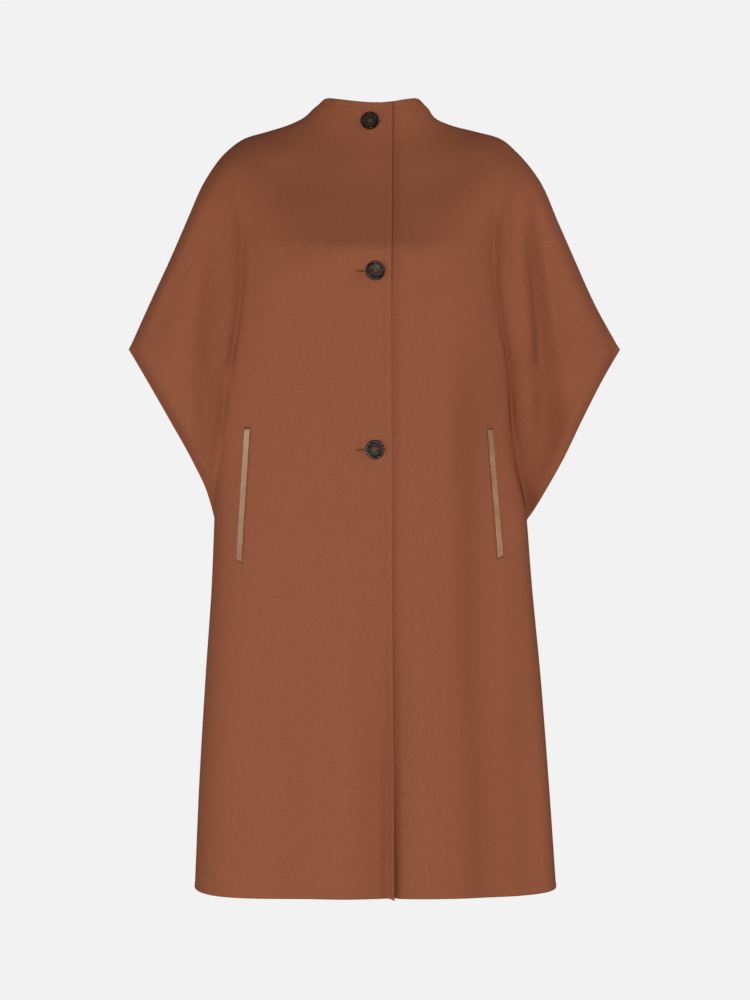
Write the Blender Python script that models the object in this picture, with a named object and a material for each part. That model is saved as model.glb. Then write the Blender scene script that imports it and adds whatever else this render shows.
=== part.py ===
"""A wool poncho coat, as it hangs filled out from the shoulders with nobody in it.

Each front is one cut of cloth, with half of the funnel collar and the front of the sleeve, and the back is
one more cut. They meet at seams down the sides of the neck, along the shoulders and over the arms, and
again from the underarms to the hem. Between a sleeve's corner and its underarm the cloth is open.
The origin is on the shoulder line at the centre. +Z is up, and the front faces -Y. Sizes are in metres.
"""

import math
from collections import namedtuple

import bmesh
import bpy
import numpy as np
from mathutils import Matrix, Vector
from mathutils.bvhtree import BVHTree

COLLECTION = "poncho_coat"
CUTTERS = "cutters"

CLOTH = 0.0024
SEAM_GAP = 0.0003
SEATED = 0.0003
UNDERLAP = 0.022
LAP_STEP = CLOTH + 0.0009
LAP_EASE = 0.035

BODY_COLUMNS = 10
SLEEVE_COLUMNS = 8
SAMPLES = 160
LEVEL = 0.027

# A row for each section, from the top of the collar to the hem. It runs from the centre (centre_z) outwards
# and ends at the outline (out_z, and out_right or out_left from the centre). The fold is where the body
# stands in front of the sleeve. The depths are how far the cloth stands from the plane of the side seams,
# in front and behind: at the centre, in the fold, on the sleeve and at the open edge of the sleeve.
# Roundness and turn are 2 and 0.5 for an ellipse. A higher roundness is a flatter middle, and a higher turn
# is a sharper side. Valley is 0 where the sleeve runs smoothly out of the body and 1 where the fold parts
# them, and the crease is sunk along the fold. Rows counts the mesh's rows to the next section.
Row = namedtuple(
    "Row",
    "centre_z out_z out_right out_left fold_right fold_left front back roundness turn"
    " fold sleeve edge valley crease rows",
)
SECTIONS = [
    Row(0.03, 0.0425, 0.0705, 0.0612, 0.0705, 0.0612, 0.061, 0.062, 2, 0.5, 0, 0, 0, 0, 0, 1),
    Row(0.008, 0.0302, 0.0835, 0.0725, 0.0835, 0.0725, 0.066, 0.066, 2, 0.5, 0, 0, 0, 0, 0, 1),
    Row(-0.014, 0.0165, 0.098, 0.082, 0.098, 0.082, 0.073, 0.072, 1.9, 0.53, 0, 0, 0, 0, 0, 1),
    Row(-0.034, 0.0055, 0.1215, 0.106, 0.1215, 0.106, 0.083, 0.08, 1.8, 0.55, 0, 0, 0, 0, 0, 1),
    Row(-0.056, -0.0028, 0.148, 0.1385, 0.148, 0.1385, 0.0965, 0.09, 1.9, 0.55, 0, 0, 0, 0, 0, 1),
    Row(-0.08, -0.0125, 0.179, 0.1715, 0.179, 0.1715, 0.11, 0.099, 2.1, 0.49, 0, 0, 0, 0, 0, 3),
    Row(-0.106, -0.034, 0.207, 0.197, 0.187, 0.176, 0.129, 0.107, 2.2, 0.47, 0.082, 0.086, 0, 0.3, 0.001, 2),
    Row(-0.134, -0.0755, 0.2355, 0.2285, 0.185, 0.167, 0.152, 0.113, 2.3, 0.46, 0.092, 0.096, 0, 0.7, 0.002, 2),
    Row(-0.176, -0.124, 0.2565, 0.249, 0.1775, 0.159, 0.188, 0.117, 2.4, 0.45, 0.101, 0.104, 0, 1, 0.003, 2),
    Row(-0.212, -0.179, 0.2805, 0.2735, 0.1775, 0.159, 0.186, 0.119, 2.5, 0.42, 0.105, 0.107, 0, 1, 0.004, 2),
    Row(-0.27, -0.237, 0.308, 0.3, 0.182, 0.166, 0.176, 0.117, 2.7, 0.38, 0.103, 0.105, 0, 1, 0.005, 2),
    Row(-0.33, -0.3025, 0.338, 0.3365, 0.1922, 0.1785, 0.164, 0.114, 2.9, 0.36, 0.099, 0.101, 0, 1, 0.005, 3),
    Row(-0.382, -0.354, 0.3055, 0.3055, 0.2005, 0.1845, 0.156, 0.112, 3, 0.35, 0.096, 0.098, 0.066, 1, 0.005, 2),
    Row(-0.43, -0.401, 0.278, 0.281, 0.2058, 0.1885, 0.15, 0.11, 3.1, 0.35, 0.093, 0.095, 0.065, 1, 0.005, 2),
    Row(-0.478, -0.455, 0.248, 0.255, 0.2115, 0.195, 0.146, 0.109, 3.5, 0.35, 0.08, 0.082, 0.06, 1, 0.004, 1),
    Row(-0.518, -0.498, 0.229, 0.2315, 0.2165, 0.2025, 0.143, 0.109, 4.1, 0.36, 0.055, 0.056, 0.043, 1, 0.002, 1),
    Row(-0.54, -0.538, 0.22, 0.2082, 0.22, 0.2082, 0.141, 0.109, 4.8, 0.36, 0, 0, 0, 1, 0, 2),
    Row(-0.62, -0.62, 0.2235, 0.2146, 0.2235, 0.2146, 0.137, 0.112, 5, 0.4, 0, 0, 0, 1, 0, 2),
    Row(-0.75, -0.75, 0.2325, 0.2272, 0.2325, 0.2272, 0.132, 0.117, 5.5, 0.46, 0, 0, 0, 1, 0, 2),
    Row(-0.9, -0.9, 0.2415, 0.239, 0.2415, 0.239, 0.13, 0.122, 6, 0.5, 0, 0, 0, 1, 0, 2),
    Row(-1.04, -1.04, 0.2475, 0.2488, 0.2475, 0.2488, 0.131, 0.127, 6.5, 0.52, 0, 0, 0, 1, 0, 0),
]
SHOULDER_END, BUST, SLEEVE_CORNER, UNDERARM, HEM = 5, 8, 11, 16, 20
BACK_NECK_RISE = 0.015
BODY_TURN = 0.8
BODY_TURN_FADE = 3
CREASE_REACH = 0.0038

# A sleeve rises out of its fold, falls back towards its outer side and rolls over at the outline. The
# collar's top edge runs almost straight to its rounded corners.
SLEEVE_RISE = 0.016
SLEEVE_ROLL = 0.022
SLEEVE_FALL = 0.045
SLEEVE_WIDE = 0.13
COLLAR_CURVE = 1.7
COLLAR_BEND = 1.5
COLLAR_CORNER = 0.14
COLLAR_DROP = 0.002

# The largest soft folds, each on a line that bows sideways between its top and its low end. Positive x is
# the wearer's left. A ridge has a positive height and a trough a negative one. Beyond the line, outwards,
# the cloth stands a step higher or lower. A fold dies away over its reach to both sides, and fades in at
# its ends.
Fold = namedtuple("Fold", "face top_x top_z low_x low_z bow reach_top reach_low height step fade")
FOLDS = [
    Fold("front", 0.118, -0.24, 0.139, -1.10, -0.004, 0.022, 0.027, 0.000, -0.052, 0.22),
    Fold("front", 0.186, -0.72, 0.206, -1.10, 0.000, 0.018, 0.020, 0.000, -0.026, 0.16),
    Fold("front", 0.165, -0.50, 0.180, -0.88, 0.000, 0.018, 0.020, 0.008, 0.000, 0.12),
    Fold("front", 0.056, -0.44, 0.068, -1.10, -0.002, 0.022, 0.026, 0.007, 0.000, 0.20),
    Fold("front", -0.046, -0.50, -0.052, -1.10, 0.002, 0.024, 0.030, 0.006, 0.000, 0.20),
    Fold("front", -0.034, -0.54, -0.036, -1.10, 0.000, 0.032, 0.034, 0.014, 0.000, 0.36),
    Fold("front", 0.004, -0.56, 0.004, -1.10, -0.002, 0.020, 0.022, 0.000, -0.010, 0.36),
    Fold("front", 0.031, -0.60, 0.034, -1.10, 0.000, 0.006, 0.007, 0.000, 0.010, 0.45),
    Fold("front", 0.196, -0.06, 0.240, -0.50, 0.000, 0.010, 0.020, -0.010, -0.008, 0.14),
    Fold("front", -0.220, -0.12, -0.240, -0.52, -0.004, 0.009, 0.011, 0.000, 0.013, 0.12),
    Fold("front", -0.262, -0.18, -0.306, -0.32, 0.000, 0.012, 0.014, -0.011, 0.000, 0.06),
    Fold("back", 0.085, -0.42, 0.098, -1.10, 0.002, 0.026, 0.030, 0.009, 0.000, 0.16),
    Fold("back", 0.020, -0.50, 0.030, -1.10, -0.003, 0.022, 0.026, -0.008, 0.000, 0.16),
    Fold("back", -0.070, -0.40, -0.085, -1.10, 0.003, 0.024, 0.028, 0.009, 0.000, 0.16),
    Fold("back", -0.135, -0.30, -0.150, -1.10, -0.002, 0.014, 0.018, -0.005, -0.012, 0.20),
    Fold("back", -0.205, -0.07, -0.244, -0.46, 0.004, 0.005, 0.013, -0.010, 0.000, 0.10),
    Fold("back", 0.206, -0.08, 0.240, -0.46, -0.004, 0.005, 0.013, -0.009, 0.000, 0.10),
]

# Broad swellings over the bust and hollows above them. Each dies away over its own reach across and up.
Swell = namedtuple("Swell", "face x z across up height")
SWELLS = [
    Swell("front", -0.080, -0.208, 0.058, 0.030, 0.009),
    Swell("front", 0.064, -0.206, 0.036, 0.028, 0.008),
    Swell("front", -0.115, -0.085, 0.040, 0.040, -0.010),
    Swell("front", 0.092, -0.085, 0.034, 0.036, -0.008),
]

# How far the right front laps past the centre, at four heights.
LAP = [(0.030, 0.0236), (-0.206, 0.0212), (-0.442, 0.0226), (-1.040, 0.0260)]

# The button is turned to this profile, from the edge of its flat back, over the rim and down into the dish:
# how far in from its widest, and how high.
BUTTON_WIDTH = 0.0254
Turned = namedtuple("Turned", "inset height")
BUTTON_PROFILE = [
    Turned(0.0016, 0.0),
    Turned(0.0003, 0.0010),
    Turned(0.0, 0.0022),
    Turned(0.0006, 0.0036),
    Turned(0.0018, 0.0042),
    Turned(0.0034, 0.0037),
    Turned(0.0047, 0.0028),
]
BUTTON_STEPS = 32
FACING_REACH = 0.004
HOLE_WIDTH = 0.0021
HOLE_STEP = 0.0019
HOLE_SIDES = 12
Button = namedtuple("Button", "x z turned")
BUTTONS = {
    "top": Button(-0.0067, 0.003, 0),
    "middle": Button(0.0003, -0.2085, 8),
    "bottom": Button(0.0, -0.442, 24),
}

# A strip along each pocket's mouth. Its low end is cut on a slant, lower towards the front edge. Its
# profile is given across, in widths, and outwards, in thicknesses.
WELT_WIDTH = 0.0074
WELT_THICK = 0.0013
WELT_SLANT = 0.0038
WELT_STEPS = 30
WELT_PROFILE = [(-0.5, 0), (0.5, 0), (0.5, 1), (0.2, 1.15), (-0.2, 1.15), (-0.5, 1)]
Welt = namedtuple("Welt", "top_x top_z low_x low_z")
WELTS = {
    "right": Welt(-0.1700, -0.4145, -0.1812, -0.5885),
    "left": Welt(0.1545, -0.4145, 0.1690, -0.5835),
}


def curve(column, place, corners=(0, HEM)):
    """A column of SECTIONS at a place between two of its rows, on a smooth line with the given corners."""
    values = [getattr(section, column) for section in SECTIONS]
    first = min(int(place), HEM - 1)
    share = place - first

    def slope(at):
        before = values[at] - values[at - 1] if at > 0 else None
        after = values[at + 1] - values[at] if at < HEM else None
        if before is None or (at in corners and at == first):
            return after
        if after is None or at in corners:
            return before
        return 2 * before * after / (before + after) if before * after > 0 else 0.0

    low, high = values[first], values[first + 1]
    rise, run = slope(first), slope(first + 1)
    return (
        low * (1 + 2 * share) * (1 - share) ** 2
        + rise * share * (1 - share) ** 2
        + high * share**2 * (3 - 2 * share)
        - run * share**2 * (1 - share)
    )


def smooth_step(value):
    value = min(max(value, 0.0), 1.0)
    return value * value * (3 - 2 * value)


def fold_height(face, x, z):
    """How far the folds and swellings lift the cloth of a face at a place."""
    height = 0.0
    for fold in FOLDS:
        if fold.face == face:
            share = min(max((fold.top_z - z) / (fold.top_z - fold.low_z), 0.0), 1.0)
            middle = fold.top_x + (fold.low_x - fold.top_x) * share + fold.bow * 4 * share * (1 - share)
            reach = fold.reach_top + (fold.reach_low - fold.reach_top) * share
            fade = smooth_step((fold.top_z - z) / fold.fade)
            if fold.low_z > SECTIONS[HEM].centre_z:
                fade *= smooth_step((z - fold.low_z) / fold.fade)
            outwards = math.copysign(1, fold.top_x)
            beyond = (x - middle) / reach
            stepped = fold.step * (1 + math.tanh(outwards * beyond)) / 2
            height += fade * (fold.height * math.exp(-(beyond**2)) + stepped)
    for swell in SWELLS:
        if swell.face == face:
            away = ((x - swell.x) / swell.across) ** 2 + ((z - swell.z) / swell.up) ** 2
            height += swell.height * math.exp(-away)
    return height


class Ring:
    """One half of a section: a side of the front or of the back, at a place from collar (0) to hem."""

    def __init__(self, face, side, place):
        turns = (0, SLEEVE_CORNER, UNDERARM, HEM)
        folds_end = (0, SHOULDER_END, UNDERARM, HEM)
        self.face = face
        self.sign = -1 if side == "right" else 1
        self.centre_z = curve("centre_z", place)
        if face == "back":
            self.centre_z += BACK_NECK_RISE * (1 - smooth_step(place / SHOULDER_END))
        self.out_z = curve("out_z", place, turns)
        self.out = curve("out_" + side, place, turns)
        self.fold_x = curve("fold_" + side, place, folds_end)
        if not SHOULDER_END < place < UNDERARM:
            self.fold_x = self.out
        self.centre = curve(face, place, (0, BUST, HEM) if face == "front" else (0, HEM))
        self.roundness = curve("roundness", place)
        self.turn = curve("turn", place)
        parted = smooth_step((UNDERARM - place) / BODY_TURN_FADE)
        self.body_turn = self.turn + (BODY_TURN - self.turn) * parted
        self.fold = curve("fold", place, (0, UNDERARM, HEM))
        self.sleeve = curve("sleeve", place, (0, UNDERARM, HEM))
        self.edge = curve("edge", place, turns)
        self.valley = curve("valley", place)
        self.crease = curve("crease", place, (0, UNDERARM, HEM))
        self.below_top = smooth_step(place / COLLAR_BEND)

    def rounded(self, share, turn):
        share = min(abs(share), 1.0)
        return (1 - share**self.roundness) ** turn

    def sleeve_depth(self, x):
        """Depth on the sleeve, between its fold and the outline or the open edge."""
        beyond = x - self.fold_x
        rise = self.fold + (self.sleeve - self.fold) * math.sin(math.pi / 2 * min(beyond / SLEEVE_RISE, 1))
        rise -= SLEEVE_FALL * (beyond / SLEEVE_WIDE) ** 3
        rolled = 1 - min((self.out - x) / SLEEVE_ROLL, 1)
        drop = 1 - (self.edge / self.sleeve) ** 2
        return rise * math.sqrt(max(1 - drop * rolled**2, 0))

    def depth(self, x):
        whole = self.centre * self.rounded(x / self.out, self.turn)
        if self.fold_x == self.out:
            return whole
        if x <= self.fold_x:
            parted = self.fold + (self.centre - self.fold) * self.rounded(x / self.fold_x, self.body_turn)
        else:
            parted = self.sleeve_depth(x)
        parted -= self.crease * math.exp(-(((x - self.fold_x) / CREASE_REACH) ** 2))
        return whole + (parted - whole) * self.valley

    def point(self, x):
        """The cloth's outer side at x from the centre, which is below 0 past the centre line."""
        level = LEVEL * self.below_top
        share = max(x - level, 0) / (self.out - level)
        bend = COLLAR_CURVE + (2 - COLLAR_CURVE) * self.below_top
        corner = max((share - 1) / COLLAR_CORNER + 1, 0)
        z = self.centre_z + (self.out_z - self.centre_z) * share**bend
        z -= COLLAR_DROP * corner**2 * (1 - self.below_top)
        inside = 1 - min(share, 1) ** 6
        y = self.depth(x) + fold_height(self.face, self.sign * x, z) * inside + SEAM_GAP / 2
        return Vector((self.sign * x, -y if self.face == "front" else y, z))

    def run(self, start, end, columns):
        """Points from start to end, evenly spaced along the cloth."""
        angles = np.linspace(0, math.pi / 2, SAMPLES)
        line = [self.point(start + (end - start) * math.sin(angle)) for angle in angles]
        steps = [(b - a).length for a, b in zip(line, line[1:])]
        along = np.concatenate([[0], np.cumsum(steps)])
        if along[-1] < 1e-9:
            return [line[0]] * (columns + 1)
        spaced = np.linspace(0, along[-1], columns + 1)
        spots = [np.interp(spaced, along, [p[axis] for p in line]) for axis in range(3)]
        return [Vector(spot) for spot in zip(*spots)]


def places():
    """The mesh's rows, with every section among them."""
    found = []
    for number, section in enumerate(SECTIONS):
        found += [number + step / section.rows for step in range(section.rows)]
    return found + [HEM]


def lap_at(z):
    heights, laps = zip(*reversed(LAP))
    return float(np.interp(z, heights, laps))


def lap_drop(x):
    """How far the left front lies behind the right front's surface, under the lap and just beyond it."""
    return LAP_STEP * (1 - smooth_step((x - LAP[0][1]) / LAP_EASE))


def add_grid(mesh, rows):
    """Quads between rows of points, facing outwards where the rows run from left to right of the viewer."""
    grid = [[mesh.verts.new(point) for point in row] for row in rows]
    for upper, lower in zip(grid, grid[1:]):
        for column in range(len(upper) - 1):
            mesh.faces.new([upper[column], lower[column], lower[column + 1], upper[column + 1]])


def first_columns(face, side, z):
    """Where the columns before the evenly spaced ones stand, which are the same for both fronts' lap."""
    if face == "back":
        return [0.0]
    lap = lap_at(z)
    return [-lap, 0.0, UNDERLAP] if side == "right" else [-UNDERLAP, 0.0, lap]


def half_rows(face, side):
    """Rows of the body, and rows of the sleeve beyond its fold, for one side of one face."""
    body, sleeve = [], []
    for place in places():
        ring = Ring(face, side, place)
        *shared, first = first_columns(face, side, ring.centre_z)
        body.append([ring.point(x) for x in shared] + ring.run(first, ring.fold_x, BODY_COLUMNS))
        if SHOULDER_END <= place <= UNDERARM:
            sleeve.append(ring.run(ring.fold_x, ring.out, SLEEVE_COLUMNS))
            sleeve[-1][0] = body[-1][-1]
    return body, sleeve


def wall(mesh, face):
    """Gives the open cloth its thickness inwards, and trims it at the plane of the side seams."""
    bmesh.ops.remove_doubles(mesh, verts=mesh.verts, dist=1e-6)
    mesh.normal_update()
    limit = SEAM_GAP / 2
    outer = list(mesh.verts)
    faces = list(mesh.faces)
    rims = [edge for edge in mesh.edges if edge.is_boundary]
    inner = {}
    for vert in outer:
        outwards = vert.normal.copy()
        if abs(vert.co.y) < SEAM_GAP:
            outwards.y = 0
            outwards.normalize()
        place = vert.co - outwards * CLOTH
        place.y = min(place.y, -limit) if face == "front" else max(place.y, limit)
        inner[vert] = mesh.verts.new(place)
    for rim in rims:
        loop = rim.link_loops[0]
        a, b = loop.vert, loop.link_loop_next.vert
        mesh.faces.new([b, a, inner[a], inner[b]])
    for old in faces:
        first, *others = old.verts
        mesh.faces.new([inner[vert] for vert in [first] + others[::-1]])


def material(name, colour, roughness, metallic=0.0):
    made = bpy.data.materials.new(name)
    made.use_nodes = True
    shader = made.node_tree.nodes["Principled BSDF"]
    shader.inputs["Base Color"].default_value = (*colour, 1)
    shader.inputs["Roughness"].default_value = roughness
    shader.inputs["Metallic"].default_value = metallic
    return made


def add_object(name, mesh, finish, collection, smooth=40):
    data = bpy.data.meshes.new(name)
    mesh.to_mesh(data)
    mesh.free()
    data.materials.append(finish)
    data.shade_smooth()
    data.set_sharp_from_angle(angle=math.radians(smooth))
    made = bpy.data.objects.new(name, data)
    collection.objects.link(made)
    return made


def front(side, collection, finish):
    """One front. The right one laps over, and the left one runs on beneath it."""
    mesh = bmesh.new()
    for rows in half_rows("front", side):
        if side == "right":
            rows = [row[::-1] for row in rows]
        else:
            for row in rows:
                for point in row:
                    point.y += lap_drop(point.x)
        add_grid(mesh, rows)
    wall(mesh, "front")
    return add_object("front_" + side, mesh, finish, collection)


def back(collection, finish):
    """The whole back in one cut, from one sleeve to the other."""
    mesh = bmesh.new()
    for side in ("right", "left"):
        for rows in half_rows("back", side):
            add_grid(mesh, rows if side == "right" else [row[::-1] for row in rows])
    wall(mesh, "back")
    return add_object("back", mesh, finish, collection)


def faces_of(panels):
    """The triangles of some panels, for finding what lies on them."""
    points, triangles = [], []
    for panel in panels:
        first = len(points)
        points += [vert.co.copy() for vert in panel.data.vertices]
        panel.data.calc_loop_triangles()
        for triangle in panel.data.loop_triangles:
            triangles.append([first + vert for vert in triangle.vertices])
    return BVHTree.FromPolygons(points, triangles)


def on_front(cloth, x, z):
    """The foremost point of the cloth at x and z, and the direction that the cloth faces about there."""

    def reached(x, z):
        return cloth.ray_cast(Vector((x, -1, z)), Vector((0, 1, 0)))[0]

    across = reached(x + FACING_REACH, z) - reached(x - FACING_REACH, z)
    up = reached(x, z + FACING_REACH) - reached(x, z - FACING_REACH)
    return reached(x, z), across.cross(up).normalized()


def button_holes(name, finish):
    """Four round cutters, through the button from front to back."""
    height = max(turned.height for turned in BUTTON_PROFILE)
    mesh = bmesh.new()
    for across, along in ((-1, -1), (-1, 1), (1, -1), (1, 1)):
        bmesh.ops.create_cone(
            mesh,
            cap_ends=True,
            segments=HOLE_SIDES,
            radius1=HOLE_WIDTH / 2,
            radius2=HOLE_WIDTH / 2,
            depth=3 * height,
            matrix=Matrix.Translation((across * HOLE_STEP, along * HOLE_STEP, height / 2)),
        )
    made = add_object(name, mesh, finish, bpy.data.collections[CUTTERS])
    made.hide_render = True
    return made


def button(name, placed, cloth, collection, finish):
    """A turned button with a rim, a dished middle and four holes, seated on the front."""
    radius = BUTTON_WIDTH / 2
    rings = [(radius - turned.inset, turned.height) for turned in BUTTON_PROFILE]
    rings = [(0, rings[0][1])] + rings + [(0, rings[-1][1])]
    mesh = bmesh.new()
    verts = [mesh.verts.new((ring, 0, height)) for ring, height in rings]
    edges = [mesh.edges.new(pair) for pair in zip(verts, verts[1:])]
    bmesh.ops.spin(
        mesh,
        geom=verts + edges,
        cent=(0, 0, 0),
        axis=(0, 0, 1),
        angle=math.tau,
        steps=BUTTON_STEPS,
        use_duplicate=False,
    )
    bmesh.ops.remove_doubles(mesh, verts=mesh.verts, dist=1e-6)
    bmesh.ops.recalc_face_normals(mesh, faces=mesh.faces)
    made = add_object(name, mesh, finish, collection)

    cutter = button_holes(name + "_holes", finish)
    cutter.parent = made
    cut = made.modifiers.new("holes", "BOOLEAN")
    cut.object = cutter
    cut.operation = "DIFFERENCE"

    spot, facing = on_front(cloth, placed.x, placed.z)
    up = facing.cross(Vector((1, 0, 0))).normalized()
    across = up.cross(facing)
    seat = Matrix((across, up, facing)).transposed()
    foot = radius - BUTTON_PROFILE[0].inset
    lift = 0.0
    for step in range(BUTTON_STEPS):
        angle = math.tau * step / BUTTON_STEPS
        place = spot + foot * (math.cos(angle) * across + math.sin(angle) * up)
        lift = max(lift, (on_front(cloth, place.x, place.z)[0] - spot).dot(facing))
    turn = Matrix.Rotation(math.radians(placed.turned), 4, "Z")
    made.matrix_world = Matrix.Translation(spot + facing * (lift + SEATED)) @ seat.to_4x4() @ turn
    return made


def welt(side, cloth, collection, finish):
    """A flat leather strip along the pocket's mouth, bent to the front and seated on it."""
    line = WELTS[side]
    inner = 1 if side == "right" else -1
    mesh = bmesh.new()
    rows = []
    for step in range(WELT_STEPS + 1):
        share = step / WELT_STEPS
        x = line.top_x + (line.low_x - line.top_x) * share
        z = line.top_z + (line.low_z - line.top_z) * share
        ring = []
        for across, out in WELT_PROFILE:
            drop = WELT_SLANT * share * (0.5 + inner * across)
            spot, facing = on_front(cloth, x + across * WELT_WIDTH, z - drop)
            ring.append(mesh.verts.new(spot + facing * (2 * SEATED + out * WELT_THICK)))
        rows.append(ring)
    for upper, lower in zip(rows, rows[1:]):
        for corner in range(len(upper)):
            after = (corner + 1) % len(upper)
            mesh.faces.new([upper[corner], upper[after], lower[after], lower[corner]])
    mesh.faces.new(rows[0])
    mesh.faces.new(rows[-1])
    bmesh.ops.recalc_face_normals(mesh, faces=mesh.faces)
    return add_object("welt_" + side, mesh, finish, collection)


def clear_scene():
    for old in list(bpy.data.objects):
        bpy.data.objects.remove(old, do_unlink=True)


def build():
    clear_scene()
    coat = bpy.data.collections.new(COLLECTION)
    cutters = bpy.data.collections.new(CUTTERS)
    bpy.context.scene.collection.children.link(coat)
    bpy.context.scene.collection.children.link(cutters)
    cutters.hide_render = True
    wool = material("reddish brown wool", (0.28, 0.096, 0.050), 0.92)
    leather = material("tan leather", (0.40, 0.23, 0.14), 0.45)
    horn = material("dark horn", (0.022, 0.013, 0.010), 0.22)
    cloth = faces_of([front("right", coat, wool), front("left", coat, wool)])
    back(coat, wool)
    for side in WELTS:
        welt(side, cloth, coat, leather)
    for name, placed in BUTTONS.items():
        button("button_" + name, placed, cloth, coat, horn)


build()
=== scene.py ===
"""A reddish brown wool poncho coat, filled out and hanging, in a plain pale studio.

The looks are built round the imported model: the cloth, its stitched edges, the pocket welts, the buttonholes
and the buttons. Positive x is the wearer's left, -Y is the front, +Z is up, and sizes are in metres.
"""

import math
from collections import namedtuple

import bmesh
import bpy
import numpy as np
from mathutils import Matrix, Vector


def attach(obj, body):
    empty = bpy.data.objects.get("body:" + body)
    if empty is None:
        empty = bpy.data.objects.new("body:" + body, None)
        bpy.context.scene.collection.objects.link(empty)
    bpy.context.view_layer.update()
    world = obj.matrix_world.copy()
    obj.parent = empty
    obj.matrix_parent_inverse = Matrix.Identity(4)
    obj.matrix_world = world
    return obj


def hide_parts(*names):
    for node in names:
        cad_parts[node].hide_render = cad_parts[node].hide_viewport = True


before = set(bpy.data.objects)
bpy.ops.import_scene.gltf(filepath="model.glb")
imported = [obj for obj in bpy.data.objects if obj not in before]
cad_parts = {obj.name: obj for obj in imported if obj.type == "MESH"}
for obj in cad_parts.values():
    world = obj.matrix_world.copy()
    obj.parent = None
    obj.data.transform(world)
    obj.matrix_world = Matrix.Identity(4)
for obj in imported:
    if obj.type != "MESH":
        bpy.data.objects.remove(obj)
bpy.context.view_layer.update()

# ---- The cloth ----
# Double-faced wool coating, brushed and felted, cut as two fronts and one back. Collar and sleeves are in one
# with them. The pieces are sewn down the neck, over the shoulders and sleeves and from underarm to hem, and
# the free edges are turned in on themselves, so that they are a little thicker and rounded.

CLOTH = 0.0024
SEAM_GAP = 0.00001
UNDERLAP = 0.022
LAP_STEP = 0.0030
LAP_EASE = 0.014
LEVEL = 0.027
BACK_NECK_RISE = 0.015

# Each section runs from the centre (centre_z) outwards and ends at the outline (out_z, and out_right or
# out_left from the centre). The fold is where the body stands in front of the sleeve. The depths are how far
# the cloth stands from the side seams: at the centre in front and behind, in the fold, on the sleeve and at
# its open edge. Roundness and turn shape the curve between, valley parts the sleeve from the body, and the
# crease is sunk along the fold.
Section = namedtuple(
    "Section",
    "centre_z out_z out_right out_left fold_right fold_left front back roundness turn fold sleeve edge valley"
    " crease",
)
SECTIONS = [Section(*row) for row in (
    (0.030, 0.0425, 0.0705, 0.0612, 0.0705, 0.0612, 0.061, 0.062, 2.0, 0.50, 0, 0, 0, 0, 0),
    (0.008, 0.0302, 0.0835, 0.0725, 0.0835, 0.0725, 0.066, 0.066, 2.0, 0.50, 0, 0, 0, 0, 0),
    (-0.014, 0.0165, 0.0980, 0.0820, 0.0980, 0.0820, 0.073, 0.072, 1.9, 0.53, 0, 0, 0, 0, 0),
    (-0.034, 0.0055, 0.1215, 0.1060, 0.1215, 0.1060, 0.083, 0.080, 1.8, 0.55, 0, 0, 0, 0, 0),
    (-0.056, -0.0028, 0.1480, 0.1385, 0.1480, 0.1385, 0.0965, 0.090, 1.9, 0.55, 0, 0, 0, 0, 0),
    (-0.080, -0.0125, 0.1790, 0.1715, 0.1790, 0.1715, 0.110, 0.099, 2.1, 0.49, 0, 0, 0, 0, 0),
    (-0.106, -0.0340, 0.2070, 0.1970, 0.1870, 0.1760, 0.129, 0.107, 2.2, 0.47, 0.082, 0.086, 0, 0.3, 0),
    (-0.134, -0.0755, 0.2355, 0.2285, 0.1850, 0.1670, 0.152, 0.113, 2.3, 0.46, 0.092, 0.096, 0, 0.7, 0.001),
    (-0.176, -0.1240, 0.2565, 0.2490, 0.1775, 0.1590, 0.188, 0.117, 2.4, 0.45, 0.101, 0.104, 0, 1, 0.002),
    (-0.212, -0.1790, 0.2805, 0.2735, 0.1775, 0.1590, 0.186, 0.119, 2.5, 0.42, 0.105, 0.107, 0, 1, 0.004),
    (-0.270, -0.2370, 0.3080, 0.3000, 0.1820, 0.1660, 0.176, 0.117, 2.7, 0.38, 0.103, 0.105, 0, 1, 0.005),
    (-0.330, -0.3025, 0.3380, 0.3365, 0.1922, 0.1785, 0.164, 0.114, 2.9, 0.36, 0.099, 0.101, 0, 1, 0.0075),
    (-0.382, -0.3540, 0.3055, 0.3055, 0.2005, 0.1845, 0.156, 0.112, 3.0, 0.35, 0.096, 0.098, 0.066, 1, 0.008),
    (-0.430, -0.4010, 0.2780, 0.2810, 0.2058, 0.1885, 0.150, 0.110, 3.1, 0.35, 0.093, 0.095, 0.065, 1, 0.008),
    (-0.478, -0.4550, 0.2480, 0.2550, 0.2115, 0.1950, 0.146, 0.109, 3.5, 0.35, 0.080, 0.082, 0.060, 1, 0.005),
    (-0.518, -0.4980, 0.2290, 0.2315, 0.2165, 0.2025, 0.143, 0.109, 4.1, 0.36, 0.055, 0.056, 0.043, 1, 0.002),
    (-0.540, -0.5380, 0.2200, 0.2082, 0.2200, 0.2082, 0.141, 0.109, 4.8, 0.36, 0, 0, 0, 1, 0),
    (-0.620, -0.6200, 0.2235, 0.2146, 0.2235, 0.2146, 0.137, 0.112, 5.0, 0.40, 0, 0, 0, 1, 0),
    (-0.750, -0.7500, 0.2325, 0.2272, 0.2325, 0.2272, 0.132, 0.117, 5.5, 0.46, 0, 0, 0, 1, 0),
    (-0.900, -0.9000, 0.2415, 0.2390, 0.2415, 0.2390, 0.130, 0.122, 6.0, 0.50, 0, 0, 0, 1, 0),
    (-1.040, -1.0400, 0.2475, 0.2488, 0.2475, 0.2488, 0.131, 0.127, 6.5, 0.52, 0, 0, 0, 1, 0),
)]
SHOULDER_END, BUST, SLEEVE_CORNER, UNDERARM, HEM = 5, 8, 11, 16, 20
BODY_TURN = 0.8
SLEEVE_RISE = 0.016
SLEEVE_ROLL = 0.022
SLEEVE_FALL = 0.045
SLEEVE_WIDE = 0.13
CREASE_REACH = 0.0038
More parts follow.
